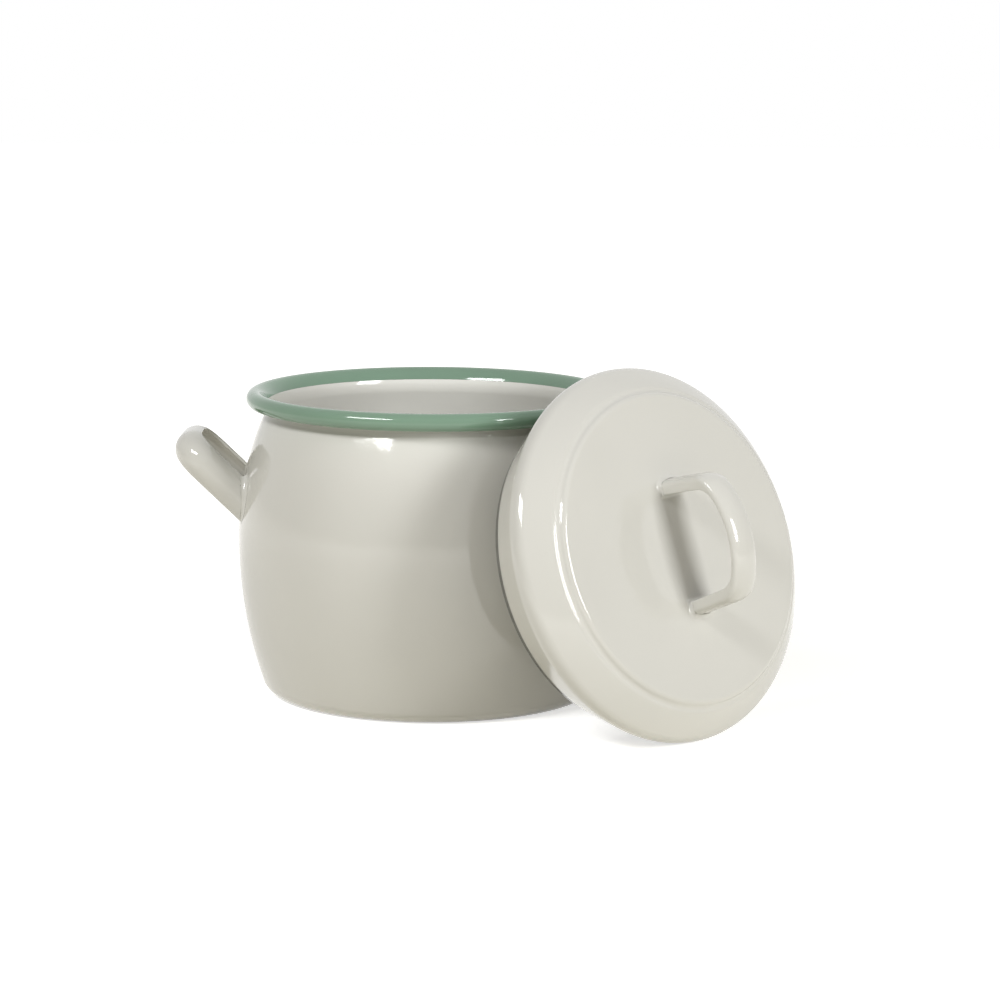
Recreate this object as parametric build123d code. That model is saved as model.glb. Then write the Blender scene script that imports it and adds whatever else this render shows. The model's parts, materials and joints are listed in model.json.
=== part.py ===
from build123d import *
import math
import os

# Enamel jar with two side handles, and its lid taken off and leant on the rim.
# Millimetres, Z up; the jar's axis is Z and it stands on Z = 0. Angles are in degrees.

# steel of the vessel and of the pressed handles, enamel included
sheet_thickness = 1.0
strap_thickness = 1.2

# jar: the rim sets the size; the lid, as wide as the rim, can then lean against it
rim_radius = 65.0
height_ratio = 1.637
bead_radius = 3.0
roll_start_angle = 125.2
roll_end_angle = -145
rim_colour_depth = 4.0
groove_radius = 6.0
belly_overhang = 2.9
belly_height = 55.0
foot_inset = 7.0
base_corner_radius = 6.7
base_ring_width = 14.0
base_slope_width = 4.0
base_recess_depth = 1.2

# side handles, the left one and its mirror image
side_drop_height = 36.9
side_sink_depth = 1.0
side_rise_angle = 43.7
side_reach_length = 30.1
side_half_spacing = 18.3
side_corner_radius = 13.0
side_section_radius = 6.5
side_spread_angle = 68
side_weld_radius = 2.0
side_overrun_length = 14.0

# lid, in its own frame with the skirt's edge at height 0
lid_inset = 1.68
mouth_clearance = 2.3
shoulder_radius = 5.5
shoulder_height = 18.05
crown_radius = 56.0
crown_start_angle = 45
step_inset = 8.85
step_width = 3.8
step_height = 2.4

# lid handle: the bow outside, the finger window inside
bow_width = 10.5
bow_crown_radius = 12.0
bow_edge_radius = 2.0
bow_section_depth = 8.0
bow_half_foot_length = 23.3
bow_half_top_length = 21.5
bow_height = 27.3
bow_arch_radius = 35.0
bow_corner_radius = 9.0
window_half_foot_length = 18.2
window_half_top_length = 16.5
window_height = 24.4
window_arch_radius = 28.0
window_corner_radius = 7.0
bow_offset = 1.75
bow_turn_angle = 2.9
bow_weld_radius = 1.5
bow_overrun_length = 7.0

# how the lid leans: on its shoulder on the floor and against the rolled rim
lean_azimuth_angle = -46.5
lean_top_rise = 0.16
lean_shift = 10.07
lean_clearance = 0.4


def polar(centre, radius, degrees):
    angle = math.radians(degrees)
    return centre + Vector(math.cos(angle), math.sin(angle)) * radius


def arc_about(centre, start, end):
    middle = ((start + end) / 2 - centre).normalized() * (start - centre).length
    return ThreePointArc(start, centre + middle, end)


def turned(face):
    return revolve(Plane.XZ * face, Axis.Z)


def filled(line):
    # the solid under an outline that starts on the axis
    start = line @ 0
    end = line @ 1
    closing = Polyline(end, (0, end.Y), start)
    return turned(make_face(line.edges() + closing.edges()))


def strap(path, section):
    # a section, drawn with its crown at 0 and its body below, led along a path
    start = Plane(origin=path @ 0, x_dir=(0, 0, -1), z_dir=path % 0)
    return sweep(start * section, path)


def weld(host, leg, radius):
    # the fillet between a leg and the part of the body that is near it
    room = leg.bounding_box()
    margin = Vector(1, 1, 1) * (8 * radius)
    near = host & Pos(*room.center()) * Box(*(room.size + margin))
    joined = near + leg
    seam = new_edges(near, leg, combined=joined)
    return fillet(seam, radius) - joined


# rolled rim and groove: the sheet runs from the hollow under the rim into the bead
rim_height = rim_radius * height_ratio
curl = Vector(rim_radius - bead_radius, rim_height - bead_radius)
roll_radius = bead_radius - sheet_thickness
neck = polar(curl, roll_radius - groove_radius, roll_start_angle)
neck_radius = groove_radius + sheet_thickness
mouth_radius = neck.X - neck_radius
colour_height = rim_height - rim_colour_depth
colour_angle = 180 - math.degrees(math.asin((colour_height - neck.Y) / neck_radius))
with BuildLine() as roll:
    arc_about(neck, polar(neck, groove_radius, colour_angle), polar(curl, roll_radius, roll_start_angle))
    CenterArc(curl, roll_radius, roll_start_angle, roll_end_angle - roll_start_angle)
    Line(polar(curl, roll_radius, roll_end_angle), polar(curl, bead_radius, roll_end_angle))
    CenterArc(curl, bead_radius, roll_end_angle, roll_start_angle - roll_end_angle)
    arc_about(neck, polar(curl, bead_radius, roll_start_angle), polar(neck, neck_radius, colour_angle))
    Line(polar(neck, neck_radius, colour_angle), polar(neck, groove_radius, colour_angle))
rim_bead = turned(make_face(roll.edges()))

# jar wall: up from the middle of the base, over the belly, into the groove
foot = Vector(rim_radius - foot_inset, 0)
belly = Vector(rim_radius + belly_overhang, belly_height)
lower_radius = (foot - belly).length ** 2 / (2 * (belly.X - foot.X))
lower = belly - Vector(lower_radius, 0)
to_neck = neck - belly
upper_radius = (to_neck.length**2 - groove_radius**2) / (2 * (groove_radius - to_neck.X))
upper = belly - Vector(upper_radius, 0)
shoulder = upper + (neck - upper).normalized() * upper_radius
ring_inner = foot - Vector(base_ring_width, 0)
dish = Vector(ring_inner.X - base_slope_width, base_recess_depth)
with BuildLine() as wall:
    Polyline((0, base_recess_depth), dish, ring_inner, foot)
    arc_about(lower, foot, belly)
    arc_about(upper, belly, shoulder)
    arc_about(neck, shoulder, polar(neck, groove_radius, colour_angle))
    fillet(wall.vertices().sort_by_distance(foot)[0], base_corner_radius)
wall_line = wall.wires()[0]
jar_shell = turned(Face(wall_line.offset_2d(sheet_thickness, side=Side.LEFT)))
jar_filled = filled(wall_line)


def wall_radius(height):
    centre, radius = (upper, upper_radius) if height > belly_height else (lower, lower_radius)
    return centre.X + math.sqrt(radius**2 - (height - belly_height) ** 2)


# side handles: a half-round channel bent into a loop, open on the inner side
with BuildLine() as loop:
    FilletPolyline(
        (-side_overrun_length, side_half_spacing),
        (side_reach_length, side_half_spacing),
        (side_reach_length, -side_half_spacing),
        (-side_overrun_length, -side_half_spacing),
        radius=side_corner_radius,
    )
loop_path = loop.wires()[0]
section_centre = Vector(0, -side_section_radius)
spread_start = 90 - side_spread_angle
outer_line = CenterArc(section_centre, side_section_radius, spread_start, 2 * side_spread_angle)
chord = Line(outer_line @ 1, outer_line @ 0)
half_round = make_face(outer_line.edges() + chord.edges())
half_round = fillet(half_round.vertices(), strap_thickness / 2)
channel = half_round - Pos(*section_centre) * Circle(side_section_radius - strap_thickness)
side_height = rim_height - side_drop_height
rise = math.radians(side_rise_angle)
left_place = Plane(
    origin=(side_sink_depth - wall_radius(side_height), 0, side_height),
    x_dir=(-math.cos(rise), 0, math.sin(rise)),
    z_dir=(math.sin(rise), 0, math.cos(rise)),
)
left_handle = left_place * strap(loop_path, channel) - jar_filled
left_leg = left_place * strap(loop_path, half_round)
left_welds = weld(jar_filled, left_leg, side_weld_radius)
right_handle = mirror(left_handle, about=Plane.YZ)
right_welds = mirror(left_welds, about=Plane.YZ)

# lid: flat top, a step, a sloping shoulder with a round edge and a flared skirt that drops into the mouth
lid_radius = rim_radius - lid_inset
skirt_edge_radius = mouth_radius - mouth_clearance
round_centre = Vector(lid_radius - shoulder_radius, shoulder_height)
crown_centre = polar(round_centre, shoulder_radius - crown_radius, crown_start_angle)
crown_start = polar(round_centre, shoulder_radius, crown_start_angle)
crease_radius = lid_radius - step_inset
crease_angle = math.degrees(math.acos((crease_radius - crown_centre.X) / crown_radius))
crease = polar(crown_centre, crown_radius, crease_angle)
step_top = crease + Vector(-step_width, step_height)
step_middle = (crease + step_top) / 2
step_radius = (step_width**2 + step_height**2) / (4 * step_height)
skirt_edge = Vector(skirt_edge_radius, 0)
to_round = round_centre - skirt_edge
flare = math.atan2(to_round.Y, to_round.X) - math.asin(shoulder_radius / to_round.length)
flare_angle = math.degrees(flare) - 90
with BuildLine() as dome:
    Line((0, step_top.Y), step_top)
    arc_about(step_top - Vector(0, step_radius), step_top, step_middle)
    arc_about(crease + Vector(0, step_radius), step_middle, crease)
    arc_about(crown_centre, crease, crown_start)
    CenterArc(round_centre, shoulder_radius, crown_start_angle, flare_angle - crown_start_angle)
    Line(polar(round_centre, shoulder_radius, flare_angle), skirt_edge)
dome_line = dome.wires()[0]
lid_shell = turned(Face(dome_line.offset_2d(sheet_thickness, side=Side.RIGHT)))
lid_filled = filled(dome_line)


def bow(half_foot, half_top, height, arch_radius, corner_radius):
    # feet, leaning legs and an arched top, from one foot to the other
    sag = arch_radius - math.sqrt(arch_radius**2 - half_top**2)
    spread = (half_foot - half_top) / (height - sag) * bow_overrun_length
    with BuildLine() as line:
        Line((-bow_overrun_length, half_foot + spread), (height - sag, half_top))
        ThreePointArc((height - sag, half_top), (height, 0), (height - sag, -half_top))
        Line((height - sag, -half_top), (-bow_overrun_length, -half_foot - spread))
        fillet(line.vertices().sort_by_distance((height, 0))[:2], corner_radius)
    return line.wires()[0]


def bow_section(width, drop, edge_radius):
    # a slightly convex crown, rounded edges and straight sides
    half = width / 2
    brink = math.sqrt(bow_crown_radius**2 - half**2) - bow_crown_radius - drop
    with BuildLine() as line:
        ThreePointArc((-half, brink), (0, -drop), (half, brink))
        Polyline((half, brink), (half, -bow_section_depth), (-half, -bow_section_depth), (-half, brink))
        fillet(line.vertices().sort_by_distance((0, -drop))[:2], edge_radius)
    return make_face(line.edges())


# lid handle: a pressed bow, hollow underneath, with a window for two fingers
bow_path = bow(
    bow_half_foot_length, bow_half_top_length, bow_height, bow_arch_radius, bow_corner_radius
)
window_path = bow(
    window_half_foot_length, window_half_top_length, window_height, window_arch_radius, window_corner_radius
)
window_close = Line(window_path @ 1, window_path @ 0)
window = extrude(make_face(window_path.edges() + window_close.edges()), bow_width, both=True)
bow_solid = strap(bow_path, bow_section(bow_width, 0, bow_edge_radius)) - window
hollow_width = bow_width - 2 * strap_thickness
bow_hollow = strap(bow_path, bow_section(hollow_width, strap_thickness, bow_edge_radius / 2))
turn = math.radians(bow_turn_angle)
bow_place = Plane(
    origin=(bow_offset, 0, step_top.Y),
    x_dir=(0, 0, 1),
    z_dir=(math.cos(turn), math.sin(turn), 0),
)
bow_leg = bow_place * bow_solid
lid_handle = bow_leg - bow_place * bow_hollow - lid_filled
lid_welds = weld(lid_filled, bow_leg, bow_weld_radius)

# the lid's place: its shoulder rests on the floor, its skirt clears the rim
span = Vector(round_centre.X + skirt_edge_radius, round_centre.Y)
tilt = math.asin((rim_height + lean_top_rise - shoulder_radius) / span.length) + math.atan2(span.Y, span.X)
azimuth = math.radians(lean_azimuth_angle)
level = round_centre.X * math.sin(tilt) - round_centre.Y * math.cos(tilt) + shoulder_radius
reach = curl.X * math.sin(tilt) + curl.Y * math.cos(tilt) + bead_radius + lean_clearance
away = (reach - level * math.cos(tilt)) / math.sin(tilt)
outwards = Vector(math.cos(azimuth), math.sin(azimuth), 0)
sideways = Vector(-math.sin(azimuth), math.cos(azimuth), 0)
lid_place = Plane(
    origin=outwards * away + sideways * lean_shift + Vector(0, 0, level),
    x_dir=sideways,
    z_dir=outwards * math.sin(tilt) + Vector(0, 0, math.cos(tilt)),
)

parts = {
    "jar_shell": jar_shell,
    "rim_bead": rim_bead,
    "left_handle": left_handle,
    "right_handle": right_handle,
    "left_handle_welds": left_welds,
    "right_handle_welds": right_welds,
    "lid_shell": lid_place * lid_shell,
    "lid_handle": lid_place * lid_handle,
    "lid_handle_welds": lid_place * lid_welds,
}
os.makedirs("parts", exist_ok=True)
for name, part in parts.items():
    export_step(part, f"parts/{name}.step")
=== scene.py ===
import json
import math

import bmesh
import bpy
from mathutils import Matrix, Vector

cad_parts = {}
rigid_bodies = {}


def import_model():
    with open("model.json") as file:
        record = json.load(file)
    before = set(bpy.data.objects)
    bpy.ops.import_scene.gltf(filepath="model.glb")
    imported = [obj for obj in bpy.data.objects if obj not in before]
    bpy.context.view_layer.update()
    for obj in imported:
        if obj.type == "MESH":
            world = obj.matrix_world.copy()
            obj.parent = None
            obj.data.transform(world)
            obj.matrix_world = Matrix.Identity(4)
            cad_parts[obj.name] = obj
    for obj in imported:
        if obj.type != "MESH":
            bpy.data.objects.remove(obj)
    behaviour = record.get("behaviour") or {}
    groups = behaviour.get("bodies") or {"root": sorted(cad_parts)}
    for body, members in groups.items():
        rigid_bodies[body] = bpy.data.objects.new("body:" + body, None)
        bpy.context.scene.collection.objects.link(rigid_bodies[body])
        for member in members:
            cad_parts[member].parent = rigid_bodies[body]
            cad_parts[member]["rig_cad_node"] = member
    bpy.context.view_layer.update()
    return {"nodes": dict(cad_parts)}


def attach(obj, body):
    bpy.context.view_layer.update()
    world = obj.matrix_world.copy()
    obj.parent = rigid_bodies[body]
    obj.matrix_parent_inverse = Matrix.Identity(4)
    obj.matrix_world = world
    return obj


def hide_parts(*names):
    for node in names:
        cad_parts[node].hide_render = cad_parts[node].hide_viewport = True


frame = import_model()

# The pot: one cup of sheet steel, deep-drawn with a dished foot, a bulging wall and a drawn-in neck.
# It is fired inside and out with thick, glossy cream enamel, which flows into a faint ripple.
MM = 0.001
SHEET = 1.0
UPRIGHT = (0, 0, 1)
TURN_STEPS = 192
DISH_RADIUS = 40
DISH_SLOPE = 4
DISH_DEPTH = 1.2
FOOT_CORNER_CENTRE = (53.27, 0, 6.7)
LOWER_WALL_CENTRE = (-89.83, 0, 55)
UPPER_WALL_CENTRE = (-37.1, 0, 55)
NECK_CENTRE = (64.31, 0, 100.13)
DISH_ROUNDING = 1.2
CREAM = (0.632, 0.628, 0.594, 1.0)
CREAM_CLOUDING = 0.97
PINHOLE = (0.10, 0.085, 0.07, 1.0)
PINHOLE_CHOICE = 0.62
ENAMEL_IOR = 1.52
RIPPLE_HEIGHT = 0.012


def pick(piece):
    """Leaves this piece alone selected and active."""
    bpy.ops.object.select_all(action="DESELECT")
    piece.select_set(True)
    bpy.context.view_layer.objects.active = piece


def start_drawing(name, x, y, z):
    """A plane pulled together into the first corner of an outline, in millimetres."""
    bpy.ops.object.select_all(action="DESELECT")
    bpy.ops.mesh.primitive_plane_add(size=MM)
    piece = bpy.context.object
    piece.name = name
    bpy.ops.object.mode_set(mode="EDIT")
    bpy.ops.mesh.merge(type="CENTER")
    bpy.ops.transform.translate(value=(x * MM, y * MM, z * MM))
    return piece


def draw_run(x, y, z):
    """Draws what is selected on by this many millimetres."""
    bpy.ops.mesh.extrude_region_move(TRANSFORM_OT_translate={"value": (x * MM, y * MM, z * MM)})


def draw_arc(centre, degrees, steps, axis=(0, 1, 0)):
    """Swings what is selected round a centre; in the X-Z plane a plus angle is anticlockwise."""
    bpy.ops.mesh.spin(
        steps=steps, angle=math.radians(degrees), center=[c * MM for c in centre], axis=axis
    )


def turn_outline():
    """Turns the drawn outline once round the upright axis and closes its seam and its pole."""
    bpy.ops.mesh.select_all(action="SELECT")
    bpy.ops.mesh.spin(steps=TURN_STEPS, angle=2 * math.pi, center=(0, 0, 0), axis=UPRIGHT)
    bpy.ops.mesh.select_all(action="SELECT")
    bpy.ops.mesh.remove_doubles(threshold=0.002 * MM)
    bpy.ops.mesh.normals_make_consistent(inside=False)
    bpy.ops.object.mode_set(mode="OBJECT")


def add_finish(piece, kind, **values):
    """Adds one modifier with these values and applies it."""
    finish = piece.modifiers.new(kind.lower(), kind)
    for key, value in values.items():
        setattr(finish, key, value)
    pick(piece)
    bpy.ops.object.modifier_apply(modifier=finish.name)


def thicken(piece, thickness):
    """Gives a skin its thickness, inwards from the drawn outside."""
    add_finish(piece, "SOLIDIFY", thickness=thickness * MM, offset=-1, use_even_offset=True)


def round_edges(piece, width, degrees):
    """Rounds every edge that turns by more than this angle."""
    add_finish(
        piece, "BEVEL", width=width * MM, segments=3,
        limit_method="ANGLE", angle_limit=math.radians(degrees),
    )


def shade(piece, degrees):
    """Shades smooth, apart from edges sharper than this angle."""
    pick(piece)
    bpy.ops.object.shade_smooth_by_angle(angle=math.radians(degrees))


pot = start_drawing("pot", 0, 0, DISH_DEPTH)
draw_run(DISH_RADIUS - DISH_SLOPE, 0, 0)  # the raised middle of the base
draw_run(DISH_SLOPE, 0, 0)
draw_run(DISH_SLOPE, 0, -DISH_DEPTH)  # down to the ring that it stands on
draw_run(DISH_SLOPE, 0, 0)
draw_run(FOOT_CORNER_CENTRE[0] - DISH_RADIUS - 2 * DISH_SLOPE, 0, 0)
draw_arc(FOOT_CORNER_CENTRE, 71.35, 14)
draw_arc(LOWER_WALL_CENTRE, 18.65, 20)  # up to the widest place
draw_arc(UPPER_WALL_CENTRE, 23.99, 20)
draw_arc(NECK_CENTRE, -42.93, 10)  # the hollow under the rim
turn_outline()
round_edges(pot, DISH_ROUNDING, 12)
thicken(pot, SHEET)
shade(pot, 40)

fired = bpy.data.node_groups.new("fired_enamel", "ShaderNodeTree")
for socket in ("Tone", "Roughness", "Speck", "Ripple"):
    fired.interface.new_socket(socket, in_out="OUTPUT", socket_type="NodeSocketFloat")
fired_nodes, fired_links = fired.nodes, fired.links
fired_out = fired_nodes.new("NodeGroupOutput")
fired_place = fired_nodes.new("ShaderNodeTexCoord")


def fired_noise(scale, detail, low, high):
    """Noise over the piece, with its usual run of 0.3 to 0.7 spread from low to high."""
    noise = fired_nodes.new("ShaderNodeTexNoise")
    noise.inputs["Scale"].default_value = scale
    noise.inputs["Detail"].default_value = detail
    fired_links.new(fired_place.outputs["Object"], noise.inputs["Vector"])
    spread = fired_nodes.new("ShaderNodeMapRange")
    spread.inputs["From Min"].default_value = 0.3
    spread.inputs["From Max"].default_value = 0.7
    spread.inputs["To Min"].default_value = low
    spread.inputs["To Max"].default_value = high
    fired_links.new(noise.outputs["Fac"], spread.inputs["Value"])
    return spread.outputs["Result"]


def fired_math(operation, *values):
    """One sum on numbers or links."""
    node = fired_nodes.new("ShaderNodeMath")
    node.operation = operation
    for put, value in zip(node.inputs, values):
        if isinstance(value, bpy.types.NodeSocket):
            fired_links.new(value, put)
        else:
            put.default_value = value
    return node.outputs["Value"]


clouds = fired_noise(scale=22, detail=3, low=0.0, high=1.0)
gloss = fired_noise(scale=140, detail=4, low=0.055, high=0.10)
broad_waves = fired_noise(scale=55, detail=1, low=0.0, high=1.0)
fine_waves = fired_noise(scale=380, detail=2, low=0.0, high=1.0)
ripple = fired_math("MULTIPLY_ADD", broad_waves, 5.0, fine_waves)
speck_cells = fired_nodes.new("ShaderNodeTexVoronoi")
speck_cells.inputs["Scale"].default_value = 34
fired_links.new(fired_place.outputs["Object"], speck_cells.inputs["Vector"])
speck_size = fired_nodes.new("ShaderNodeMapRange")
speck_size.inputs["From Min"].default_value = 0.016
speck_size.inputs["From Max"].default_value = 0.008
fired_links.new(speck_cells.outputs["Distance"], speck_size.inputs["Value"])
speck_chosen = fired_math("GREATER_THAN", speck_cells.outputs["Color"], PINHOLE_CHOICE)
speck = fired_math("MULTIPLY", speck_size.outputs["Result"], speck_chosen)
for socket, value in (("Tone", clouds), ("Roughness", gloss), ("Speck", speck), ("Ripple", ripple)):
    fired_links.new(value, fired_out.inputs[socket])


def blend_colour(owner, mask, first, second):
    """Mixes two colours, or links, by a mask and gives the result."""
    mix = owner.node_tree.nodes.new("ShaderNodeMix")
    mix.data_type = "RGBA"
    for socket, value in (("Factor", mask), ("A", first), ("B", second)):
        put = [s for s in mix.inputs if s.name == socket and s.enabled][0]
        if isinstance(value, bpy.types.NodeSocket):
            owner.node_tree.links.new(value, put)
        else:
            put.default_value = value
    return [s for s in mix.outputs if s.enabled][0]


def make_enamel(name, colour, clouding):
    """Glossy enamel of one colour with its ripple, faint clouding and a few pinholes."""
    material = bpy.data.materials.new(name)
    material.use_nodes = True
    nodes, links = material.node_tree.nodes, material.node_tree.links
    shader = nodes["Principled BSDF"]
    shader.inputs["IOR"].default_value = ENAMEL_IOR
    group = nodes.new("ShaderNodeGroup")
    group.node_tree = fired
    dimmed = [c * clouding for c in colour[:3]] + [1.0]
    clouded = blend_colour(material, group.outputs["Tone"], dimmed, colour)
    specked = blend_colour(material, group.outputs["Speck"], clouded, PINHOLE)
    links.new(specked, shader.inputs["Base Color"])
    links.new(group.outputs["Roughness"], shader.inputs["Roughness"])
    bump = nodes.new("ShaderNodeBump")
    bump.inputs["Distance"].default_value = RIPPLE_HEIGHT * MM
    links.new(group.outputs["Ripple"], bump.inputs["Height"])
    links.new(bump.outputs["Normal"], shader.inputs["Normal"])
    return material


def coat(piece, material):
    """Makes this the piece's only material."""
    piece.data.materials.clear()
    piece.data.materials.append(material)


cream_enamel = make_enamel("cream_enamel", CREAM, CREAM_CLOUDING)
coat(pot, cream_enamel)
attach(pot, "jar")
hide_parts("jar_shell")

# The rolled rim: the pot's own sheet, turned out and down into a bead that stops short of the wall.
# It is banded in soft green enamel, over the top and a little way down the inside.
GREEN = (0.185, 0.305, 0.218, 1.0)
GREEN_CLOUDING = 0.9
RIM_START = (57.688, 0, 102.4)
CURL_CENTRE = (62, 0, 103.4)

rim = start_drawing("rim", *RIM_START)
draw_arc(NECK_CENTRE, -35.83, 8)
draw_arc(CURL_CENTRE, -270.27, 40)
turn_outline()
thicken(rim, SHEET)
shade(rim, 50)
green_enamel = make_enamel("green_enamel", GREEN, GREEN_CLOUDING)
coat(rim, green_enamel)
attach(rim, "jar")
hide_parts("rim_bead")

# The side handles: a half-round steel channel bent into a loop, its open side towards the fingers.
# Both feet are butted to the wall under the neck. The right one is the left one's mirror image.
HANDLE_RISE = math.radians(43.7)
HANDLE_ROOT = Vector((-65.9, 0, 69.5)) * MM
CHANNEL_OUTSIDE = 6.5
CHANNEL_MIDDLE = 5.9
CHANNEL_SPREAD = 68
LEG_OFFSET = 11.8
LEG_LENGTH = 29.1
LEG_OVERRUN = 12.0
CORNER_OFFSET = 5.3
FOOT_TURN = 0.248
FOOT_LEAN = 0.138
FOOT_DISTANCE = 66.4 * MM

lip_x = CHANNEL_MIDDLE * math.cos(math.radians(CHANNEL_SPREAD))
lip_z = CHANNEL_MIDDLE * math.sin(math.radians(CHANNEL_SPREAD))
lip_growth = CHANNEL_OUTSIDE / CHANNEL_MIDDLE
channel_centre = (LEG_OFFSET, -LEG_OVERRUN, 0)
left = start_drawing(
    "left_loop", LEG_OFFSET + lip_x * lip_growth, -LEG_OVERRUN, -lip_z * lip_growth
)
draw_arc(channel_centre, 2 * CHANNEL_SPREAD, 28)
draw_arc((LEG_OFFSET + lip_x, -LEG_OVERRUN, lip_z), 180, 6)
draw_arc(channel_centre, -2 * CHANNEL_SPREAD, 28)
draw_arc((LEG_OFFSET + lip_x, -LEG_OVERRUN, -lip_z), 180, 6)
bpy.ops.mesh.select_all(action="SELECT")
bpy.ops.mesh.remove_doubles(threshold=0.01 * MM)
draw_run(0, LEG_LENGTH, 0)
draw_arc((CORNER_OFFSET, LEG_LENGTH - LEG_OVERRUN, 0), -90, 20, axis=UPRIGHT)
draw_run(-2 * CORNER_OFFSET, 0, 0)
draw_arc((-CORNER_OFFSET, LEG_LENGTH - LEG_OVERRUN, 0), -90, 20, axis=UPRIGHT)
draw_run(0, -LEG_LENGTH, 0)
bpy.ops.object.mode_set(mode="OBJECT")
across = Vector((math.sin(HANDLE_RISE), 0, math.cos(HANDLE_RISE)))
outwards = Vector((-math.cos(HANDLE_RISE), 0, math.sin(HANDLE_RISE)))
sideways = outwards.cross(across)
loop_turn = Matrix((sideways, outwards, across)).transposed().to_4x4()
left.matrix_world = Matrix.Translation(HANDLE_ROOT) @ loop_turn
bpy.ops.object.transform_apply(location=True, rotation=True, scale=True)

# each foot is trimmed to the wall in front of it
bpy.ops.object.mode_set(mode="EDIT")
for side in (-1, 1):
    wall = Vector((-math.cos(FOOT_TURN), side * math.sin(FOOT_TURN), 0))
    facing = wall * math.cos(FOOT_LEAN) + Vector((0, 0, math.sin(FOOT_LEAN)))
    bpy.ops.mesh.select_all(action="DESELECT")
    mesh = bmesh.from_edit_mesh(left.data)
    for face in mesh.faces:
        if face.calc_center_median().y * side > 0:
            face.select_set(True)
    bpy.ops.mesh.bisect(
        plane_co=wall * FOOT_DISTANCE + Vector((0, 0, HANDLE_ROOT.z)),
        plane_no=facing,
        clear_inner=True,
        use_fill=True,
    )
bpy.ops.mesh.select_all(action="SELECT")
bpy.ops.mesh.normals_make_consistent(inside=False)
bpy.ops.object.mode_set(mode="OBJECT")
shade(left, 45)
bpy.ops.object.duplicate()
right = bpy.context.object
right.name = "right_loop"
right.scale = (-1, 1, 1)
bpy.ops.object.transform_apply(location=True, rotation=True, scale=True)
bpy.ops.object.mode_set(mode="EDIT")
bpy.ops.mesh.select_all(action="SELECT")
bpy.ops.mesh.normals_make_consistent(inside=False)
bpy.ops.object.mode_set(mode="OBJECT")
for loop, node in ((left, "left_handle"), (right, "right_handle")):
    coat(loop, cream_enamel)
    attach(loop, "jar")
    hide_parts(node)

# The seams round the feet of the side handles: the enamel pools there into a soft fillet.
# They follow the CAD seams, with their triangles sewn together so that they shade as one skin.


def sew_seam(node, name, body):
    """Copies one CAD seam, sews it up and sets it on its body."""
    source = frame["nodes"][node]
    pick(source)
    bpy.ops.object.duplicate()
    seam = bpy.context.object
    seam.name = name
    del seam["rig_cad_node"]
    seam.parent = None
    bpy.ops.object.mode_set(mode="EDIT")
    bpy.ops.mesh.select_all(action="SELECT")
    bpy.ops.mesh.remove_doubles(threshold=0.001 * MM)
    bpy.ops.object.mode_set(mode="OBJECT")
    shade(seam, 35)
    coat(seam, cream_enamel)
    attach(seam, body)
    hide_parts(node)
    return seam


left_seams = sew_seam("left_handle_welds", "left_seams", "jar")
right_seams = sew_seam("right_handle_welds", "right_seams", "jar")

# The lid: a pressed disc with a step, a sloping shoulder with a round edge and a flared skirt.
# It leans on the rim, skirt inwards. Along the skirt's raw edge the cream enamel draws back
# from the dark ground coat under it.
LEAN = (math.radians(71.281), 0, math.radians(90 - 46.5))
LID_FOOT = Vector((63.868, -52.674, 54.469)) * MM
LID_TOP = 30.446
TOP_FLAT = 46
TOP_BRINK_CENTRE = (50.67, 0, 28.342)
STEP_FOOT_CENTRE = (54.47, 0, 30.15)
SHOULDER_CENTRE = (22.111, 0, -17.659)
ROUND_EDGE_CENTRE = (57.82, 0, 18.05)
SKIRT_INWARDS = 7.741
SKIRT_DROP = 15.606
SKIRT_ROUNDING = 0.35
GROUND_COAT = (0.012, 0.011, 0.010, 1.0)
BARE_HEIGHT = 2.5
COVERED_HEIGHT = 3.0


def lean_on_rim(piece):
    """Moves a piece from the lid's own upright frame to where the lid leans."""
    pick(piece)
    piece.rotation_euler = LEAN
    piece.location = LID_FOOT
    bpy.ops.object.transform_apply(location=True, rotation=True, scale=True)


lid = start_drawing("lid", 0, 0, LID_TOP)
draw_run(TOP_FLAT, 0, 0)
draw_run(TOP_BRINK_CENTRE[0] - TOP_FLAT, 0, 0)
draw_arc(TOP_BRINK_CENTRE, -64.55, 10)
draw_arc(STEP_FOOT_CENTRE, 64.55, 10)
draw_arc(SHOULDER_CENTRE, -9.7, 10)
draw_arc(ROUND_EDGE_CENTRE, -71.38, 24)
for _ in range(3):
    draw_run(-SKIRT_INWARDS / 3, 0, -SKIRT_DROP / 3)
turn_outline()
thicken(lid, SHEET)
round_edges(lid, SKIRT_ROUNDING, 60)
shade(lid, 40)
lean_on_rim(lid)

lid_enamel = make_enamel("lid_enamel", CREAM, CREAM_CLOUDING)
lid_nodes, lid_links = lid_enamel.node_tree.nodes, lid_enamel.node_tree.links
lid_place = lid_nodes.new("ShaderNodeTexCoord")
lid_upright = lid_nodes.new("ShaderNodeMapping")
lid_upright.vector_type = "TEXTURE"
lid_upright.inputs["Location"].default_value = LID_FOOT
lid_upright.inputs["Rotation"].default_value = LEAN
lid_links.new(lid_place.outputs["Object"], lid_upright.inputs["Vector"])
lid_height = lid_nodes.new("ShaderNodeSeparateXYZ")
lid_links.new(lid_upright.outputs["Vector"], lid_height.inputs["Vector"])
bare_edge = lid_nodes.new("ShaderNodeMapRange")
bare_edge.inputs["From Min"].default_value = COVERED_HEIGHT * MM
bare_edge.inputs["From Max"].default_value = BARE_HEIGHT * MM
lid_links.new(lid_height.outputs["Z"], bare_edge.inputs["Value"])
lid_base = lid_nodes["Principled BSDF"].inputs["Base Color"]
lid_cream = lid_base.links[0].from_socket
lid_colour = blend_colour(lid_enamel, bare_edge.outputs["Result"], lid_cream, GROUND_COAT)
lid_links.new(lid_colour, lid_base)
coat(lid, lid_enamel)
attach(lid, "lid")
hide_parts("lid_shell")

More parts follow.
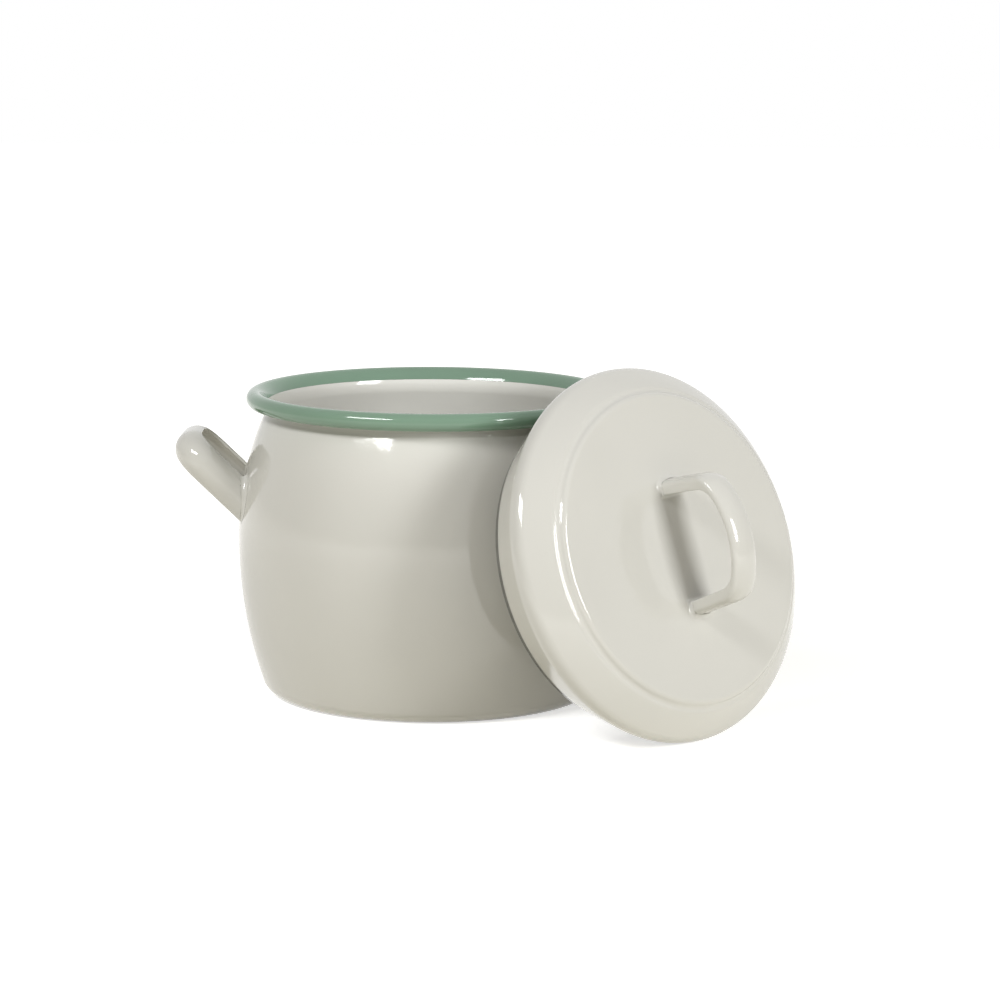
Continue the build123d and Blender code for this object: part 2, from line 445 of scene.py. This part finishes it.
# The lid's handle: a bow pressed from sheet, with a slightly convex crown, turned-in sides and a
# hollow underneath. It is welded across the middle of the lid by its two feet, a little off centre
# and a few degrees askew.
BOW_STEEL = 1.2
BOW_HALF_WIDTH = 5.25
BOW_FOOT = -0.3
BOW_OFFSET = 1.75
BOW_TURN = 2.9
CROWN_EDGE_X = 20.757
CROWN_EDGE_Y = 3.25
CROWN_CENTRE = (11.3, 0, 0)
WINDOW_FOOT = 18.2
BOW_ROUNDING = 0.4


def draw_bow(leg_x, leg_z, corner, corner_arc, top, top_arc):
    """Leads what is selected up one leg, round both corners and the top and down the other."""
    draw_run(-leg_x, 0, leg_z)
    draw_arc(corner, corner_arc, 12)
    draw_arc(top, top_arc, 14)
    draw_arc((-corner[0], corner[1], corner[2]), corner_arc, 12)
    draw_run(-leg_x, 0, -leg_z)
    bpy.ops.object.mode_set(mode="OBJECT")


bow = start_drawing("bow", CROWN_EDGE_X, -BOW_HALF_WIDTH, BOW_FOOT)
draw_arc((CROWN_EDGE_X, -CROWN_EDGE_Y, 0), -71.03, 8, axis=UPRIGHT)
draw_arc(CROWN_CENTRE, -37.94, 8, axis=UPRIGHT)
draw_arc((CROWN_EDGE_X, CROWN_EDGE_Y, 0), -71.03, 8, axis=UPRIGHT)
bpy.ops.mesh.select_all(action="SELECT")
draw_bow(
    leg_x=1.42, leg_z=15.98,
    corner=(12.92, 0, 14.87), corner_arc=55.05,
    top=(0, 0, -7.7), top_arc=59.58,
)
lips = []
for side in (-1, 1):
    lips.append(start_drawing("lip", WINDOW_FOOT, side * BOW_HALF_WIDTH, BOW_FOOT))
    draw_bow(
        leg_x=1.392, leg_z=15.877,
        corner=(9.836, 0, 14.954), corner_arc=56.97,
        top=(0, 0, -3.6), top_arc=55.86,
    )
bpy.ops.object.select_all(action="DESELECT")
for piece in (bow, *lips):
    piece.select_set(True)
bpy.context.view_layer.objects.active = bow
bpy.ops.object.join()

# each side is filled between the crown's edge and the line of the finger window
bpy.ops.object.mode_set(mode="EDIT")
for side in (-1, 1):
    bpy.ops.mesh.select_all(action="DESELECT")
    bpy.ops.mesh.select_mode(type="EDGE")
    mesh = bmesh.from_edit_mesh(bow.data)
    for edge in mesh.edges:
        ends = [v.co.y * side / MM for v in edge.verts]
        if min(ends) > BOW_HALF_WIDTH - 0.01 and len(edge.link_faces) < 2:
            edge.select_set(True)
    bpy.ops.mesh.bridge_edge_loops()
bpy.ops.mesh.select_mode(type="VERT")
bpy.ops.mesh.select_all(action="SELECT")
bpy.ops.mesh.remove_doubles(threshold=0.002 * MM)
bpy.ops.mesh.normals_make_consistent(inside=False)
bpy.ops.object.mode_set(mode="OBJECT")
thicken(bow, BOW_STEEL)
round_edges(bow, BOW_ROUNDING, 60)
shade(bow, 40)
bow.rotation_euler = (0, 0, math.radians(90 + BOW_TURN))
bow.location = (BOW_OFFSET * MM, 0, LID_TOP * MM)
bpy.ops.object.transform_apply(location=True, rotation=True, scale=True)
lean_on_rim(bow)
coat(bow, cream_enamel)
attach(bow, "lid")
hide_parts("lid_handle")

# The seams round the bow's feet: pooled enamel, as at the feet of the side handles.
# They are sewn up in the same way and ride on the lid.
bow_seams = sew_seam("lid_handle_welds", "bow_seams", "lid")

# The studio: a white paper floor that keeps the shadow, two softboxes in front, a soft light behind,
# a small lamp into the jar's mouth and a pale room round it all.
# The light behind falls on the jar and lid alone, and the small lamp on the pot alone.
FLOOR_SIZE = 6.0
PAPER_SEEN = (0.9, 0.9, 0.9, 1.0)
PAPER_BOUNCE = (0.9, 0.87, 0.76, 1.0)
GLOW_NEAR = 0.62
GLOW_FAR = 1.0
NEAR_REACH = 0.12
FAR_REACH = 0.5
WHITE = (1.0, 1.0, 1.0, 1.0)
LAMP_AIM = Vector((0, 0, 0.06))
MOUTH_LAMP_AIM = Vector((0, 0.03, 0.1))
ROOM_LIGHT = (1.0, 0.92, 0.74, 1.0)
ROOM_STRENGTH = 0.16
CAMERA_PITCH = 0.1641
CAMERA_ROLL = 0.0061

bpy.ops.object.select_all(action="DESELECT")
bpy.ops.mesh.primitive_plane_add(size=FLOOR_SIZE, location=(0, 0, 0))
floor = bpy.context.object
floor.name = "floor"
paper = bpy.data.materials.new("white_paper")
paper.use_nodes = True
paper_nodes, paper_links = paper.node_tree.nodes, paper.node_tree.links
paper_shader = paper_nodes["Principled BSDF"]
paper_shader.inputs["Roughness"].default_value = 0.9
paper_shader.inputs["Specular IOR Level"].default_value = 0.0
paper_shader.inputs["Emission Color"].default_value = WHITE


def seen_directly(nodes, links):
    """1 where the camera, a gloss or a glass sees the backdrop, and 0 where it only lights."""
    rays = nodes.new("ShaderNodeLightPath")
    seen = rays.outputs["Is Camera Ray"]
    for other in ("Is Glossy Ray", "Is Transmission Ray"):
        either = nodes.new("ShaderNodeMath")
        either.operation = "MAXIMUM"
        links.new(seen, either.inputs[0])
        links.new(rays.outputs[other], either.inputs[1])
        seen = either.outputs["Value"]
    return seen


def level_between(nodes, links, value, start, end, low, high):
    """Runs from low to high while the value runs from start to end."""
    level = nodes.new("ShaderNodeMapRange")
    level.inputs["From Min"].default_value = start
    level.inputs["From Max"].default_value = end
    level.inputs["To Min"].default_value = low
    level.inputs["To Max"].default_value = high
    links.new(value, level.inputs["Value"])
    return level.outputs["Result"]


paper_place = paper_nodes.new("ShaderNodeTexCoord")
paper_reach = paper_nodes.new("ShaderNodeVectorMath")
paper_reach.operation = "LENGTH"
paper_links.new(paper_place.outputs["Object"], paper_reach.inputs[0])
paper_glow = level_between(
    paper_nodes, paper_links, paper_reach.outputs["Value"],
    NEAR_REACH, FAR_REACH, GLOW_NEAR, GLOW_FAR,
)
paper_view = seen_directly(paper_nodes, paper_links)
paper_colour = blend_colour(paper, paper_view, PAPER_BOUNCE, PAPER_SEEN)
paper_links.new(paper_colour, paper_shader.inputs["Base Color"])
paper_seen = paper_nodes.new("ShaderNodeMath")
paper_seen.operation = "MULTIPLY"
paper_links.new(paper_view, paper_seen.inputs[0])
paper_links.new(paper_glow, paper_seen.inputs[1])
paper_links.new(paper_seen.outputs["Value"], paper_shader.inputs["Emission Strength"])
floor.data.materials.append(paper)


def add_softbox(name, azimuth, elevation, distance, width, height, power):
    """A rectangular light that faces the jar; azimuth runs from -Y towards +X."""
    a, e = math.radians(azimuth), math.radians(elevation)
    way = Vector((math.sin(a) * math.cos(e), -math.cos(a) * math.cos(e), math.sin(e)))
    bpy.ops.object.light_add(type="AREA", location=way * distance + LAMP_AIM)
    lamp = bpy.context.object
    lamp.name = name
    lamp.rotation_euler = way.to_track_quat("Z", "Y").to_euler()
    lamp.data.shape = "RECTANGLE"
    lamp.data.size = width
    lamp.data.size_y = height
    lamp.data.energy = power
    return lamp


def light_only(lamp, pieces):
    """Lets a lamp fall on these pieces alone, without a glint."""
    lamp.visible_glossy = False
    lit = bpy.data.collections.new(lamp.name + "_lit")
    for piece in pieces:
        lit.objects.link(piece)
    lamp.light_linking.receiver_collection = lit


add_softbox(
    "left_softbox", azimuth=-43, elevation=39, distance=1.4, width=0.60, height=0.25, power=10.6
)
add_softbox(
    "right_softbox", azimuth=50, elevation=20, distance=1.5, width=0.42, height=0.52, power=13.0
)
back_softbox = add_softbox(
    "back_softbox", azimuth=175, elevation=32, distance=1.6, width=0.50, height=0.50, power=11.0
)
light_only(
    back_softbox, (pot, rim, left, right, left_seams, right_seams, lid, bow, bow_seams)
)
bpy.ops.object.light_add(type="SPOT", location=(0, -0.6, 0.45))
mouth_lamp = bpy.context.object
mouth_lamp.name = "mouth_lamp"
mouth_way = mouth_lamp.location - MOUTH_LAMP_AIM
mouth_lamp.rotation_euler = mouth_way.to_track_quat("Z", "Y").to_euler()
mouth_lamp.data.spot_size = math.radians(8)
mouth_lamp.data.spot_blend = 0.4
mouth_lamp.data.shadow_soft_size = 0.03
mouth_lamp.data.energy = 6.5
light_only(mouth_lamp, (pot,))

room = bpy.data.worlds.new("pale_room")
bpy.context.scene.world = room
room.use_nodes = True
room_nodes, room_links = room.node_tree.nodes, room.node_tree.links
room_seen = seen_directly(room_nodes, room_links)
room_level = level_between(room_nodes, room_links, room_seen, 0.0, 1.0, ROOM_STRENGTH, 1.0)
room_links.new(room_level, room_nodes["Background"].inputs["Strength"])
room_colour = blend_colour(room, room_seen, ROOM_LIGHT, WHITE)
room_links.new(room_colour, room_nodes["Background"].inputs["Color"])

camera_data = bpy.data.cameras.new("camera")
camera = bpy.data.objects.new("camera", camera_data)
bpy.context.scene.collection.objects.link(camera)
camera_data.sensor_width = 36
camera_data.lens = 126
camera.location = (0.02354, -1.2090, 0.2676)
pitch = Matrix.Rotation(math.pi / 2 - CAMERA_PITCH, 3, "X")
camera.rotation_euler = (pitch @ Matrix.Rotation(CAMERA_ROLL, 3, "Z")).to_euler()
bpy.context.scene.camera = camera
bpy.context.scene.view_settings.view_transform = "Standard"
